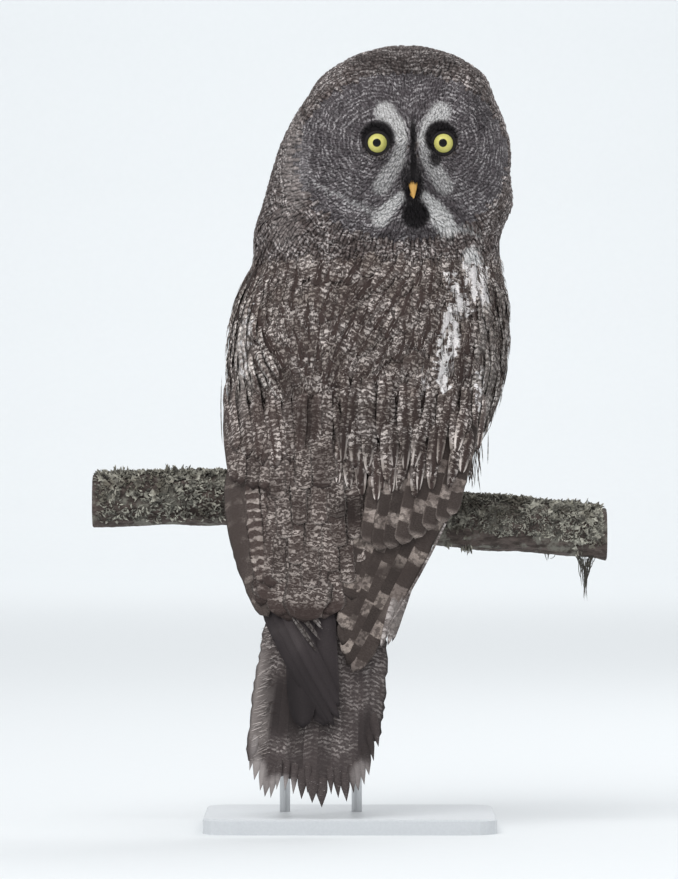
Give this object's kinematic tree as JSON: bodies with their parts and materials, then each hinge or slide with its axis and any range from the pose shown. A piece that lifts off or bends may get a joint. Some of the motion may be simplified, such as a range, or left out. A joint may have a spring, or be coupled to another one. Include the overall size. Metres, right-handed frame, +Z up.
{
  "type": "great grey owl",
  "caption": "Life-size great grey owl perched on a cut branch, back to the viewer and face turned round, on a small display stand.",
  "frame": {"origin": "centre of the stand base's underside, at floor level", "axes": "+Z up; the owl's face and back look along -Y, its breast along +Y; the branch runs along X, with the wing named left at -X"},
  "size_m": [0.4461, 0.2264, 0.672],
  "materials": {
    "plumage": "soft grey-brown feathers with dark shaft streaks and pale bars",
    "face": "fine grey feathers with dark rings round each eye",
    "flight_feathers": "dark brown vanes with pale vermiculated bars",
    "leg_feathers": "short pale downy feathers",
    "eye": "wet gloss, pale yellow iris with a black pupil",
    "bill": "smooth yellow horn, half gloss",
    "claw": "dark horn, half gloss",
    "branch": "rough bark under grey-green lichen",
    "stand_rods": "brushed",
    "stand_base": "pale satin paint"
  },
  "bodies": {
    "root": {"head": "face", "neck": "plumage", "torso": "plumage", "wing_left": "flight_feathers", "wing_right": "flight_feathers", "tail": "flight_feathers", "eye_left": "eye", "eye_right": "eye", "bill_upper": "bill", "bill_lower": "bill", "leg_left": "leg_feathers", "leg_right": "leg_feathers", "foot_left": "leg_feathers", "foot_right": "leg_feathers", "claw_left_1": "claw", "claw_left_2": "claw", "claw_left_3": "claw", "claw_left_4": "claw", "claw_right_1": "claw", "claw_right_2": "claw", "claw_right_3": "claw", "claw_right_4": "claw", "perch_branch": "branch", "stand_base": "stand_base", "stand_rod_left": "stand_rods", "stand_rod_right": "stand_rods"}
  },
  "joints": []
}
